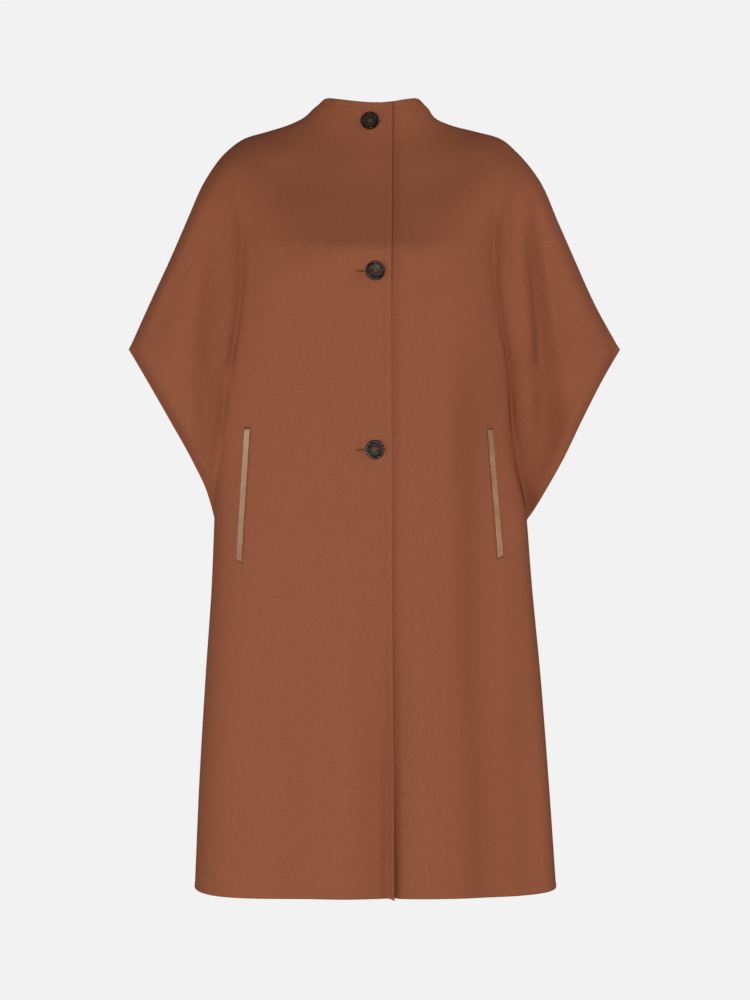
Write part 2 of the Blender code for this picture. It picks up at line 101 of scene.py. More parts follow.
# Down the cloth, rows are smoothed over so many rows. That may carry a point so many columns across, and the
# correction for it starts at a distance in from the outline and is whole at another beyond that.
DOWN_SOFTNESS = 2.2
MOST_AWAY = 2.0
OUTER_FROM, OUTER_FADE = 0.008, 0.016
# The collar's top edge rises almost straight to its rounded corners.
COLLAR_CURVE = 1.7
COLLAR_BEND = 1.5
COLLAR_CORNER = 0.14
COLLAR_DROP = 0.0020
# The hem is levelled as it hangs: taken up where a fold stands out and let down where one falls back.
HEM_LEVELLED = 0.09
HEM_LEVELLED_ABOVE = 0.24

# The soft folds and creases. Each is a ridge (positive height) or trough on a line that bows sideways between
# its top and its low end, and beyond that line, outwards, the cloth stands a step lower or higher. It dies
# away over its reach to both sides, and fades in and out at the ends.
Fold = namedtuple("Fold", "top_x top_z low_x low_z bow reach_top reach_low height step fade")
FOLDS = {
    "front": [
        (0.118, -0.24, 0.139, -1.10, -0.004, 0.022, 0.027, 0.000, -0.052, 0.22),
        (0.186, -0.72, 0.206, -1.10, 0.000, 0.018, 0.020, 0.000, -0.026, 0.16),
        (0.165, -0.50, 0.180, -0.88, 0.000, 0.018, 0.020, 0.008, 0.000, 0.12),
        (0.056, -0.44, 0.068, -1.10, -0.002, 0.022, 0.026, 0.007, 0.000, 0.20),
        (-0.046, -0.50, -0.052, -1.10, 0.002, 0.024, 0.030, 0.006, 0.000, 0.20),
        (-0.034, -0.54, -0.036, -1.10, 0.000, 0.032, 0.034, 0.014, 0.000, 0.36),
        (0.004, -0.56, 0.004, -1.10, -0.002, 0.020, 0.022, 0.000, -0.010, 0.36),
        (0.029, -0.60, 0.032, -1.10, 0.000, 0.003, 0.004, 0.000, 0.010, 0.45),
        (0.196, -0.060, 0.240, -0.50, 0.000, 0.006, 0.017, -0.017, -0.008, 0.14),
        (0.222, -0.120, 0.275, -0.50, 0.000, 0.006, 0.012, 0.007, 0.000, 0.10),
        (0.222, -0.100, 0.300, -0.27, 0.000, 0.005, 0.006, -0.005, 0.000, 0.06),
        (0.180, -0.31, 0.186, -0.44, 0.000, 0.004, 0.004, -0.007, 0.000, 0.05),
        (-0.220, -0.12, -0.240, -0.52, -0.004, 0.009, 0.011, 0.000, 0.013, 0.12),
        (-0.262, -0.18, -0.306, -0.32, 0.000, 0.012, 0.014, -0.011, 0.000, 0.06),
    ],
    "back": [
        (0.085, -0.42, 0.098, -1.10, 0.002, 0.026, 0.030, 0.009, 0.000, 0.16),
        (0.020, -0.50, 0.030, -1.10, -0.003, 0.022, 0.026, -0.008, 0.000, 0.16),
        (-0.070, -0.40, -0.085, -1.10, 0.003, 0.024, 0.028, 0.009, 0.000, 0.16),
        (-0.135, -0.30, -0.150, -1.10, -0.002, 0.014, 0.018, -0.005, -0.012, 0.20),
        (-0.205, -0.07, -0.244, -0.46, 0.004, 0.005, 0.013, -0.010, 0.000, 0.10),
        (0.206, -0.08, 0.240, -0.46, -0.004, 0.005, 0.013, -0.009, 0.000, 0.10),
        (0.186, -0.10, 0.204, -0.38, -0.002, 0.009, 0.010, 0.005, 0.000, 0.08),
        (-0.264, -0.18, -0.274, -0.42, 0.000, 0.010, 0.014, 0.006, 0.000, 0.10),
    ],
}

# The broad swellings and hollows, each dying away over its own reach across and up.
Swell = namedtuple("Swell", "x z across up height")
SWELLS = {
    "front": [
        (-0.080, -0.208, 0.058, 0.030, 0.009),
        (0.064, -0.206, 0.036, 0.028, 0.008),
        (-0.115, -0.085, 0.040, 0.040, -0.010),
        (0.092, -0.085, 0.034, 0.036, -0.008),
        (-0.165, -0.030, 0.036, 0.028, 0.006),
        (0.152, -0.030, 0.036, 0.028, 0.006),
    ],
    "back": [],
}

# How far the right front laps past the centre, at four heights.
LAP = [(0.030, 0.0236), (-0.206, 0.0212), (-0.442, 0.0226), (-1.040, 0.0260)]

# The turned edges: how far in the edge is rounded, how much thicker it is, and the sunk line that holds it.
EDGE_ROUND = 0.0014
EDGE_BEAD = 0.00035
STITCH_IN = 0.0088
STITCH_DIP = 0.00035
STITCH_REACH = 0.0011
SEAM_DIP = 0.0006
SEAM_REACH = 0.0014
SEAM_FADE = 0.004
BEAD_WIDE, BEAD_FADE = 0.0065, 0.0023
# How far in from a free edge the wool is painted lighter: partly wear of the turned edge, partly a painted
# highlight where its rounded rim catches the light.
EDGE_LIGHTENING_REACH = 0.0022
EDGE_STEPS = np.array(
    [0.0, 0.00015, 0.0005, 0.0010, 0.0016, 0.003, 0.0052, 0.0071, 0.0080, 0.0088, 0.0096, 0.0108]
)

# The grid of a panel: rows down, columns across, more of them beside the edge that laps over.
ROW_STEP = 0.0042
HEM_CLEAR = 0.013
FRONT_COLUMNS = 112
BACK_COLUMNS = 68
UNDER_COLUMNS = 12
BESIDE_COLUMNS = 12
BESIDE_REACH = 0.004
SAMPLES = 420
CREASE_SOFTNESS = 0.0018


def column(name, places, corners=(0, HEM)):
    """A column of SECTIONS at places between its rows, on a smooth line with the given corners."""
    values = np.array([getattr(section, name) for section in SECTIONS], float)
    first = np.minimum(places.astype(int), HEM - 1)
    share = places - first
    steps = np.diff(values)
    before = np.concatenate([steps[:1], steps])
    after = np.concatenate([steps, steps[-1:]])
    both = before * after
    smooth = np.where(both > 0, 2 * both / np.where(both > 0, before + after, 1), 0.0)
    leaving, arriving = smooth.copy(), smooth.copy()
    for corner in corners:
        leaving[corner] = after[corner]
        arriving[corner] = before[corner]
    return (
        values[first] * (1 + 2 * share) * (1 - share) ** 2
        + leaving[first] * share * (1 - share) ** 2
        + values[first + 1] * share**2 * (3 - 2 * share)
        - arriving[first + 1] * share**2 * (1 - share)
    )


def smooth_step(value):
    value = np.clip(value, 0.0, 1.0)
    return value * value * (3 - 2 * value)


def fold_height(face, x, z):
    """How far the folds and swellings lift the cloth of a face."""
    height = np.zeros(np.broadcast(x, z).shape)
    for fold in (Fold(*row) for row in FOLDS[face]):
        share = np.clip((fold.top_z - z) / (fold.top_z - fold.low_z), 0, 1)
        middle = fold.top_x + (fold.low_x - fold.top_x) * share + fold.bow * 4 * share * (1 - share)
        reach = fold.reach_top + (fold.reach_low - fold.reach_top) * share
        fade = smooth_step((fold.top_z - z) / fold.fade)
        if fold.low_z > SECTIONS[HEM].centre_z:
            fade = fade * smooth_step((z - fold.low_z) / fold.fade)
        beyond = (x - middle) / reach
        outwards = 1 if fold.top_x > 0 else -1
        step = fold.step * (1 + np.tanh(outwards * beyond)) / 2
        height += fade * (fold.height * np.exp(-(beyond**2)) + step)
    for swell in (Swell(*row) for row in SWELLS[face]):
        away = ((x - swell.x) / swell.across) ** 2 + ((z - swell.z) / swell.up) ** 2
        height += swell.height * np.exp(-away)
    return height


def lengths_along(rows):
    """How far along its row each point of a grid lies."""
    steps = np.linalg.norm(np.diff(rows, axis=1), axis=2)
    return np.concatenate([np.zeros((len(rows), 1)), np.cumsum(steps, axis=1)], axis=1)


class Half:
    """One side of the front or of the back, in rows at places from the collar's top (0) to the hem."""

    def __init__(self, face, side, places):
        turns = (0, SLEEVE_CORNER, UNDERARM, HEM)
        places = np.asarray(places, float).reshape(-1, 1)
        self.face = face
        self.sign = -1 if side == "right" else 1
        self.centre_z = column("centre_z", places)
        if face == "back":
            self.centre_z = self.centre_z + BACK_NECK_RISE * (1 - smooth_step(places / SHOULDER_END))
        self.out_z = column("out_z", places, turns)
        self.out = column("out_" + side, places, turns)
        fold_x = column("fold_" + side, places, (0, SHOULDER_END, UNDERARM, HEM))
        self.sleeved = (places > SHOULDER_END) & (places < UNDERARM)
        self.fold_x = np.where(self.sleeved, fold_x, self.out)
        self.centre = column(face, places, (0, BUST, HEM) if face == "front" else (0, HEM))
        self.roundness = column("roundness", places)
        self.turn = column("turn", places)
        self.body_turn = self.turn + (BODY_TURN - self.turn) * smooth_step((UNDERARM - places) / 3)
        self.fold = column("fold", places, (0, UNDERARM, HEM))
        self.sleeve = column("sleeve", places, (0, UNDERARM, HEM))
        self.edge = column("edge", places, turns)
        self.valley = column("valley", places)
        self.crease = column("crease", places, (0, UNDERARM, HEM))
        self.below_top = smooth_step(places / COLLAR_BEND)

    def rounded(self, share, turn):
        share = np.clip(np.abs(share), 0, 1)
        return (1 - share**self.roundness) ** turn

    def depth(self, x):
        whole = self.centre * self.rounded(x / self.out, self.turn)
        body = self.fold + (self.centre - self.fold) * self.rounded(x / self.fold_x, self.body_turn)
        beyond = np.clip((x - self.fold_x) / SLEEVE_RISE, 0, 1)
        rise = self.fold + (self.sleeve - self.fold) * np.sin(np.pi / 2 * beyond)
        rise = rise - SLEEVE_FALL * (np.clip(x - self.fold_x, 0, None) / SLEEVE_WIDE) ** 3
        rolled = 1 - np.clip((self.out - x) / SLEEVE_ROLL, 0, 1)
        drop = 1 - (self.edge / np.maximum(self.sleeve, 1e-6)) ** 2
        sleeve = rise * np.sqrt(np.clip(1 - drop * rolled**2, 0, None))
        parted = np.where(x <= self.fold_x, body, sleeve)
        parted = parted - self.crease * np.exp(-(((x - self.fold_x) / CREASE_REACH) ** 2))
        return np.where(self.sleeved, whole + (parted - whole) * self.valley, whole)

    def points(self, x):
        """The cloth's outer side at x from the centre, which is below 0 past the centre line."""
        level = LEVEL * self.below_top
        share = np.maximum(x - level, 0) / (self.out - level)
        curve = COLLAR_CURVE + (2 - COLLAR_CURVE) * self.below_top
        z = self.centre_z + (self.out_z - self.centre_z) * share**curve
        corner = np.clip((share - 1) / COLLAR_CORNER + 1, 0, 1)
        z = z - COLLAR_DROP * corner**2 * (1 - self.below_top)
        inside = 1 - np.minimum(share, 1) ** 6
        lift = fold_height(self.face, self.sign * x, z) * inside
        y = self.depth(x) + lift + SEAM_GAP / 2
        near_hem = smooth_step(1 - (z - SECTIONS[HEM].centre_z) / HEM_LEVELLED_ABOVE)
        z = z + HEM_LEVELLED * lift * near_hem
        return np.stack([self.sign * x + 0 * z, -y if self.face == "front" else y, z], axis=-1)

    def run(self, start, at_start, columns, beside=None):
        """Rows of points from start to the outline, closer together at the edges and beside a line."""
        angles = np.linspace(0, np.pi / 2, SAMPLES)
        x = start + (self.out - start) * np.sin(angles)
        rows = []
        for _ in range(2):
            along = lengths_along(self.points(x))
            even = along[:, -1:] * np.linspace(0, 1, SAMPLES)
            x = np.array([np.interp(want, have, old) for want, have, old in zip(even, along, x)])
        line = self.points(x)
        spacing = along[:, -1].mean() / (SAMPLES - 1)
        line = softened(line, CREASE_SOFTNESS / spacing)
        along = lengths_along(line)
        for number, (row, have) in enumerate(zip(line, along)):
            first = EDGE_STEPS if at_start else EDGE_STEPS[:1]
            last = have[-1] - EDGE_STEPS[-1]
            if beside is None:
                middle = np.linspace(first[-1], last, columns + 1)
            else:
                at = np.interp(beside[number], x[number], have)
                near, far = at + np.array([-BESIDE_REACH, BESIDE_REACH])
                under = np.linspace(first[-1], near, UNDER_COLUMNS, endpoint=False)
                close = np.linspace(near, far, BESIDE_COLUMNS, endpoint=False)
                rest = np.linspace(far, last, columns + 1 - UNDER_COLUMNS - BESIDE_COLUMNS)
                middle = np.concatenate([under, close, rest])
            want = np.concatenate([first[:-1], middle, have[-1] - EDGE_STEPS[-2::-1]])
            rows.append(np.stack([np.interp(want, have, row[:, axis]) for axis in range(3)], axis=1))
        rows = np.array(rows)
        smooth = softened(rows.transpose(1, 0, 2), DOWN_SOFTNESS).transpose(1, 0, 2)
        down, across, away = np.gradient(smooth, axis=0), np.gradient(smooth, axis=1), rows - smooth
        area = down[..., 2] * across[..., 0] - down[..., 0] * across[..., 2]
        area = np.where(np.abs(area) < 1e-9, 1e-9, area)
        rows_away = (away[..., 2] * across[..., 0] - away[..., 0] * across[..., 2]) / area
        columns_away = (down[..., 2] * away[..., 0] - down[..., 0] * away[..., 2]) / area
        columns_away = np.clip(columns_away, -MOST_AWAY, MOST_AWAY)
        inner = smooth[..., 1] + rows_away * down[..., 1] + columns_away * across[..., 1]
        outer = smooth[..., 1] + down[..., 1] / down[..., 2] * away[..., 2]
        aside = np.linalg.norm(rows - rows[:, -1:], axis=2)
        rows[..., 1] = outer + (inner - outer) * smooth_step((aside - OUTER_FROM) / OUTER_FADE)
        return rows


def softened(line, width):
    """Rows of points with their sharp turns rounded over a width in samples. Their ends stay in place."""
    reach = int(3 * width) + 1
    weights = np.exp(-0.5 * (np.arange(-reach, reach + 1) / width) ** 2)
    weights /= weights.sum()
    before = 2 * line[:, :1] - line[:, reach:0:-1]
    after = 2 * line[:, -1:] - line[:, -2 : -reach - 2 : -1]
    padded = np.concatenate([before, line, after], axis=1)
    count = line.shape[1]
    return sum(weight * padded[:, step : step + count] for step, weight in enumerate(weights))


def row_places():
    """The rows' places, evenly spaced down the cloth but closer at the collar's top and at the hem."""
    found = [0.0]
    for number, (upper, lower) in enumerate(zip(SECTIONS, SECTIONS[1:])):
        height = max(upper.centre_z - lower.centre_z, upper.out_z - lower.out_z)
        rows = max(int(round(height / ROW_STEP)), 1)
        found += [number + step / rows for step in range(1, rows + 1)]
    top = SECTIONS[0].centre_z - SECTIONS[1].centre_z
    low = SECTIONS[HEM - 1].centre_z - SECTIONS[HEM].centre_z
    clear = EDGE_STEPS[-1] * 1.2
    middle = [place for place in found if clear < place * top and (HEM - place) * low > HEM_CLEAR]
    return np.concatenate([EDGE_STEPS / top, middle, HEM - EDGE_STEPS[::-1] / low])


def lap_at(z):
    heights, laps = zip(*reversed(LAP))
    return np.interp(z, heights, laps)


def distance_to(points, line):
    """The distance from points to the nearest place on a line of points."""
    found = np.full(points.shape[:-1], np.inf)
    for a, b in zip(line, line[1:]):
        span = b - a
        size = span @ span
        if size > 0:
            share = np.clip(((points - a) @ span) / size, 0, 1)
            away = points - a - share[..., None] * span
            found = np.minimum(found, np.sqrt((away * away).sum(axis=-1)))
    return found


def facing_out(grid):
    """The directions that a grid of points faces."""
    across = np.gradient(grid, axis=1)
    down = np.gradient(grid, axis=0)
    normal = np.cross(down, across)
    normal /= np.maximum(np.linalg.norm(normal, axis=2, keepdims=True), 1e-12)
    return normal


def free_edges(grid, places, open_start, open_end):
    """The turned edges of a panel as lines of points: collar, hem, cuffs and the front edge."""
    cuff = (places >= SLEEVE_CORNER) & (places <= UNDERARM)
    lines = [grid[0], grid[-1]]
    lines.append(grid[:, 0] if open_start else grid[cuff, 0])
    lines.append(grid[:, -1] if open_end else grid[cuff, -1])
    return lines


def mark(mesh, name, values):
    """Keeps a value at each point of a mesh, for its material to read."""
    mesh.attributes.new(name, "FLOAT", "POINT").data.foreach_set("value", values.astype(np.float32))


def add_object(name, data):
    """An object in the scene for a mesh, a lamp or the camera."""
    made = bpy.data.objects.new(name, data)
    bpy.context.scene.collection.objects.link(made)
    return made


def panel(name, face, grid, places, open_start, open_end, finish):
    """A wall of cloth on a grid of points, with rounded turned edges and sunk seams, as an object."""
    lines = free_edges(grid, places, open_start, open_end)
    free = np.min([distance_to(grid, line) for line in lines], axis=0)
    normal = facing_out(grid)
    bead = EDGE_BEAD * (1 - smooth_step((free - BEAD_WIDE) / BEAD_FADE))
    dip = STITCH_DIP * np.exp(-(((free - STITCH_IN) / STITCH_REACH) ** 2))
    rounding = 1 - np.sqrt(np.clip(1 - np.clip(1 - free / EDGE_ROUND, 0, 1) ** 2, 0, 1))
    outline = np.full(grid.shape[:2], np.inf)
    if not open_start:
        outline = np.minimum(outline, np.linalg.norm(grid - grid[:, :1], axis=2))
    if not open_end:
        outline = np.minimum(outline, np.linalg.norm(grid - grid[:, -1:], axis=2))
    seam = SEAM_DIP * np.exp(-((outline / SEAM_REACH) ** 2)) * smooth_step(free / SEAM_FADE)
    lift = bead - dip - seam - (CLOTH / 2 + bead) * rounding
    sink = CLOTH + 0.5 * bead - 0.5 * dip - (CLOTH / 2 + 0.5 * bead) * rounding
    outer = grid + normal * lift[..., None]
    inner = grid - normal * sink[..., None]
    limit = SEAM_GAP / 2
    for side in (outer, inner):
        if face == "front":
            side[..., 1] = np.minimum(side[..., 1], -limit)
        else:
            side[..., 1] = np.maximum(side[..., 1], limit)
    rows, columns = grid.shape[:2]
    index = np.arange(rows * columns).reshape(rows, columns)
    quads = np.stack([index[:-1, :-1], index[1:, :-1], index[1:, 1:], index[:-1, 1:]], axis=-1)
    quads = quads.reshape(-1, 4)
    shift = rows * columns
    faces = [quads, quads[:, ::-1] + shift]
    for at, is_open in ((0, open_start), (-1, open_end)):
        if not is_open:
            side = index[:, at]
            rim = np.stack([side[:-1], side[:-1] + shift, side[1:] + shift, side[1:]], axis=-1)
            faces.append(rim if at == 0 else rim[:, ::-1])
    mesh = bpy.data.meshes.new(name)
    points = np.concatenate([outer.reshape(-1, 3), inner.reshape(-1, 3)])
    mesh.from_pydata(points.tolist(), [], np.concatenate(faces).tolist())
    step_down = np.linalg.norm(np.diff(grid, axis=0), axis=2).mean(axis=1)
    across = lengths_along(grid)
    down = np.concatenate([[0], np.cumsum(step_down)])
    flat = np.stack([across, np.broadcast_to(-down[:, None], across.shape)], axis=-1).reshape(-1, 2)
    flat = np.concatenate([flat, flat])
    corners = np.zeros(len(mesh.loops), np.int32)
    mesh.loops.foreach_get("vertex_index", corners)
    mesh.uv_layers.new(name="cut").data.foreach_set("uv", flat[corners].astype(np.float32).ravel())
    # Painted lightening near the free edges: partly wear, partly a painted highlight on the rounded rim.
    edge_wear_and_highlight = np.exp(-((free / EDGE_LIGHTENING_REACH) ** 2)).reshape(-1)
    mark(mesh, "edge_wear_and_highlight", np.concatenate([edge_wear_and_highlight, edge_wear_and_highlight]))
    merged = bmesh.new()
    merged.from_mesh(mesh)
    bmesh.ops.remove_doubles(merged, verts=merged.verts, dist=2e-6)
    merged.to_mesh(mesh)
    merged.free()
    mesh.materials.append(finish)
    mesh.shade_smooth()
    return add_object(name, mesh)


def feed(tree, node, inputs):
    """Sets a node's inputs: values directly, and other nodes' outputs by links."""
    for key, value in inputs.items():
        if isinstance(value, bpy.types.NodeSocket):
            tree.links.new(value, node.inputs[key])
        else:
            node.inputs[key].default_value = value


def add_node(tree, kind, inputs=None, output=0, **settings):
    """The output of a new node."""
    node = tree.nodes.new(kind)
    for key, value in settings.items():
        setattr(node, key, value)
    feed(tree, node, inputs or {})
    return node.outputs[output] if node.outputs else None


def nodes_of(name):
    """A new material, its node tree, its shader and the place on the object."""
    made = bpy.data.materials.new(name)
    made.use_nodes = True
    tree = made.node_tree
    return made, tree, tree.nodes["Principled BSDF"], add_node(tree, "ShaderNodeTexCoord", output="Object")


def mapped(tree, vector, **settings):
    """A place turned, moved or scaled."""
    return add_node(tree, "ShaderNodeMapping", {"Vector": vector, **settings})


def noise(tree, place, scale, detail):
    """Cloudy noise at a place."""
    return add_node(tree, "ShaderNodeTexNoise", {"Vector": place, "Scale": scale, "Detail": detail})


def worked_out(tree, operation, *values, **settings):
    """The result of an operation on values and other nodes' outputs."""
    return add_node(tree, "ShaderNodeMath", dict(enumerate(values)), operation=operation, **settings)


def ranged(tree, value, low, high, to_low, to_high):
    """A value between low and high, carried over to another range."""
    return add_node(tree, "ShaderNodeMapRange", {0: value, 1: low, 2: high, 3: to_low, 4: to_high})


def mixed(tree, share, low, high):
    """A colour between two, by a share."""
    return add_node(tree, "ShaderNodeMix", {0: share, 6: low, 7: high}, output=2, data_type="RGBA")


def bumped(tree, height, strength, distance):
    """Fine relief from a height."""
    return add_node(tree, "ShaderNodeBump", {"Height": height, "Strength": strength, "Distance": distance})


WOOL_COLOUR = (0.303, 0.0962, 0.0462, 1)
WOOL_LIGHT = (0.342, 0.1116, 0.0554, 1)
WOOL_DARK = (0.261, 0.0812, 0.0378, 1)


def wool():
    """Brushed and felted wool: a short nap combed down over a faint twill, mottled by its fibres, and painted
    lighter at its free edges, partly as wear and partly as a painted highlight on the rim.
    """
    made, tree, shader, place = nodes_of("felted wool")
    cut = add_node(tree, "ShaderNodeUVMap", uv_map="cut")
    fibres = noise(tree, mapped(tree, cut, Scale=(1500, 420, 1)), 1.0, 3.0)
    tufts = noise(tree, place, 420.0, 2.0)
    clouds = noise(tree, place, 26.0, 2.0)
    lean = mapped(tree, cut, Rotation=(0, 0, math.radians(62)))
    twill = {"Vector": lean, "Scale": 260.0, "Distortion": 1.2, "Detail": 2.0}
    twill = add_node(tree, "ShaderNodeTexWave", twill, output=1)
    mottle = ranged(tree, worked_out(tree, "ADD", tufts, fibres), 0.62, 1.38, 0.0, 1.0)
    colour = mixed(tree, mottle, WOOL_DARK, WOOL_LIGHT)
    colour = mixed(tree, ranged(tree, clouds, 0.3, 0.7, 0.0, 0.35), colour, WOOL_COLOUR)
    # Lighter towards the free edges: wear and a painted highlight.
    edge_lightening = add_node(tree, "ShaderNodeAttribute", output="Fac", attribute_name="edge_wear_and_highlight")
    colour = mixed(tree, worked_out(tree, "MULTIPLY", edge_lightening, 0.35), colour, WOOL_LIGHT)
    relief = worked_out(tree, "ADD", fibres, tufts)
    relief = worked_out(tree, "MULTIPLY_ADD", twill, 0.25, relief)
    feed(tree, shader, {
        "Base Color": colour,
        "Normal": bumped(tree, relief, 0.35, 0.0004),
        "Roughness": 0.7,
        "Specular IOR Level": 0.08,
        "Sheen Weight": 0.05,
        "Sheen Tint": WOOL_LIGHT,
        "Sheen Roughness": 0.5,
    })
    return made


cloth_finish = wool()
places = row_places()

# The right front laps over the left one. Low down, its turned edge rolls forward out of a soft trough, and
# its lowest corner hangs just below the hem.
CORNER_ABOVE = 0.05
ROLL_FROM, ROLL_FADE = -0.66, 0.26
ROLL_LIFT, ROLL_REACH = 0.0020, 0.0050
TROUGH_IN, TROUGH_DEPTH, TROUGH_REACH = 0.0105, 0.0030, 0.0060
CORNER_DROP, CORNER_REACH = 0.0026, 0.0042

right = Half("front", "right", places)
grid = right.run(-lap_at(right.centre_z), True, FRONT_COLUMNS)
from_edge = np.linalg.norm(grid - grid[:, :1], axis=2)
low = smooth_step((ROLL_FROM - grid[..., 2]) / ROLL_FADE)
grid[..., 1] -= low * ROLL_LIFT * np.exp(-((from_edge / ROLL_REACH) ** 2))
grid[..., 1] += low * TROUGH_DEPTH * np.exp(-(((from_edge - TROUGH_IN) / TROUGH_REACH) ** 2))
near_hem = smooth_step(1 - (grid[..., 2] - SECTIONS[HEM].centre_z) / CORNER_ABOVE)
grid[..., 2] -= near_hem * CORNER_DROP * np.exp(-((from_edge / CORNER_REACH) ** 2))
right_grid = grid[:, ::-1]
front_right = panel("cloth_front_right", "front", right_grid, places, False, True, cloth_finish)
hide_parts("front_right")
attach(front_right, "root")

# The left front runs on beneath the right one, and eases up to the common surface beyond its edge. Over the
# chest it is pressed into a fine furrow along that edge, and towards the hem it falls back behind it.
FURROW_DEPTH, FURROW_OUT, FURROW_REACH = 0.0019, 0.0004, 0.0011
FURROW_LOW, FURROW_FADE, FURROW_LEAST = -0.16, 0.12, 0.04
FALL_BACK, FALL_FROM, FALL_FADE, FALL_EASE = 0.0040, -0.86, 0.18, 0.008

left = Half("front", "left", places)
under = np.full_like(left.centre_z, -UNDERLAP)
left_grid = left.run(under, True, FRONT_COLUMNS, lap_at(left.centre_z))
beyond = left_grid[..., 0] - LAP[0][1]
left_grid[..., 1] += LAP_STEP * (1 - smooth_step(beyond / LAP_EASE))
pressed = 1 - smooth_step((FURROW_LOW - left_grid[..., 2]) / FURROW_FADE)
pressed = FURROW_LEAST + (1 - FURROW_LEAST) * pressed
aside = (left_grid[..., 0] - lap_at(left_grid[..., 2]) - FURROW_OUT) / FURROW_REACH
left_grid[..., 1] += FURROW_DEPTH * pressed * np.exp(-(aside**2))
fallen = FALL_BACK * smooth_step((FALL_FROM - left_grid[..., 2]) / FALL_FADE)
left_grid[..., 1] += fallen * (1 - smooth_step(beyond / FALL_EASE))
front_left = panel("cloth_front_left", "front", left_grid, places, True, False, cloth_finish)
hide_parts("front_left")
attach(front_left, "root")

# The back is one cut from sleeve to sleeve, and stands a little higher at the neck.
halves = [Half("back", side, places).run(0.0, False, BACK_COLUMNS) for side in ("left", "right")]
back_grid = np.concatenate([halves[0][:, ::-1], halves[1][:, 1:]], axis=1)
back = panel("cloth_back", "back", back_grid, places, False, False, cloth_finish)
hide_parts("back")
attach(back, "root")

# ---- The hand sewing of the turned edges ----
# The turned edges are felled down inside by hand with wool thread of the cloth's own colour. Each stitch is a
# short slanting loop, and only a faint sunk line shows outside.

FELL_LIFT = 0.00008
FELLING = dict(
    Spacing=0.0062, Length=0.0030, Width=0.00055, Height=0.00045,
    Turn=math.radians(38), Unevenness=0.14, Seed=3,
)


def new_tree(name, sizes):
    """An empty geometry tree with a mesh line, a material and named sizes going in."""
    tree = bpy.data.node_groups.new(name, "GeometryNodeTree")
    tree.interface.new_socket("Geometry", in_out="OUTPUT", socket_type="NodeSocketGeometry")
    tree.interface.new_socket("Line", in_out="INPUT", socket_type="NodeSocketGeometry")
    tree.interface.new_socket("Finish", in_out="INPUT", socket_type="NodeSocketMaterial")
    for size in sizes:
        kind = "NodeSocketInt" if size == "Seed" else "NodeSocketFloat"
        tree.interface.new_socket(size, in_out="INPUT", socket_type=kind)
    given = tree.nodes.new("NodeGroupInput")
    return tree, {socket.name: socket for socket in given.outputs}


def curve_along(tree, given):
    """The given line as a curve, with points at the given spacing."""
    curve = add_node(tree, "GeometryNodeMeshToCurve", {"Mesh": given["Line"]})
    spaced = {"Curve": curve, "Length": given["Spacing"]}
    return add_node(tree, "GeometryNodeResampleCurve", spaced, mode="LENGTH")


def ended(tree, given, shape):
    """Ends a tree with its shape made real and smooth, in the given material."""
    real = add_node(tree, "GeometryNodeRealizeInstances", {"Geometry": shape})
    smooth = add_node(tree, "GeometryNodeSetShadeSmooth", {"Geometry": real})
    dressed = add_node(tree, "GeometryNodeSetMaterial", {"Geometry": smooth, "Material": given["Finish"]})
    add_node(tree, "NodeGroupOutput", {"Geometry": dressed})
    return tree


def stitch_tree():
    """A row of loops of thread along a line, lying on the cloth that the line's facing attribute gives."""
    sizes = ["Spacing", "Length", "Width", "Height", "Turn", "Unevenness", "Seed"]
    tree, given = new_tree("row of stitches", sizes)
    row = curve_along(tree, given)
    loop = add_node(tree, "GeometryNodeMeshUVSphere", {"Segments": 8, "Rings": 5, "Radius": 0.5})
    size = {0: given["Length"], 1: given["Width"], 2: given["Height"]}
    size = add_node(tree, "ShaderNodeCombineXYZ", size)
    facing = add_node(
        tree, "GeometryNodeInputNamedAttribute", {"Name": "facing"}, "Attribute", data_type="FLOAT_VECTOR"
    )
    along = add_node(tree, "GeometryNodeInputTangent")
    axes = {"Primary Axis": facing, "Secondary Axis": along}
    lie = add_node(tree, "FunctionNodeAxesToRotation", axes, primary_axis="Z", secondary_axis="X")
    least = worked_out(tree, "MULTIPLY", given["Unevenness"], -1.0)
    limits = {2: least, 3: given["Unevenness"], "Seed": given["Seed"]}
    sway = add_node(tree, "FunctionNodeRandomValue", limits, output=1, data_type="FLOAT")
    slant = worked_out(tree, "ADD", given["Turn"], sway)
    spin = add_node(tree, "FunctionNodeAxisAngleToRotation", {"Axis": (0, 0, 1), "Angle": slant})
    turns = {"Rotation": lie, "Rotate By": spin}
    turned = add_node(tree, "FunctionNodeRotateRotation", turns, rotation_space="LOCAL")
    placed = {"Points": row, "Instance": loop, "Rotation": turned, "Scale": size}
    return ended(tree, given, add_node(tree, "GeometryNodeInstanceOnPoints", placed))


def thread_tree():
    """Round thread along a line, tapering a little to its ends."""
    tree, given = new_tree("thread", ["Thickness", "Spacing"])
    even = curve_along(tree, given)
    round_ = add_node(tree, "GeometryNodeCurvePrimitiveCircle", {"Resolution": 7, "Radius": 0.5})
    share = add_node(tree, "GeometryNodeSplineParameter", output="Factor")
    taper = worked_out(tree, "SINE", worked_out(tree, "MULTIPLY", share, math.pi))
    taper = worked_out(tree, "MULTIPLY_ADD", taper, 0.25, 0.75)
    wide = worked_out(tree, "MULTIPLY", taper, given["Thickness"])
    tube = {"Curve": even, "Profile Curve": round_, "Scale": wide, "Fill Caps": True}
    return ended(tree, given, add_node(tree, "GeometryNodeCurveToMesh", tube))


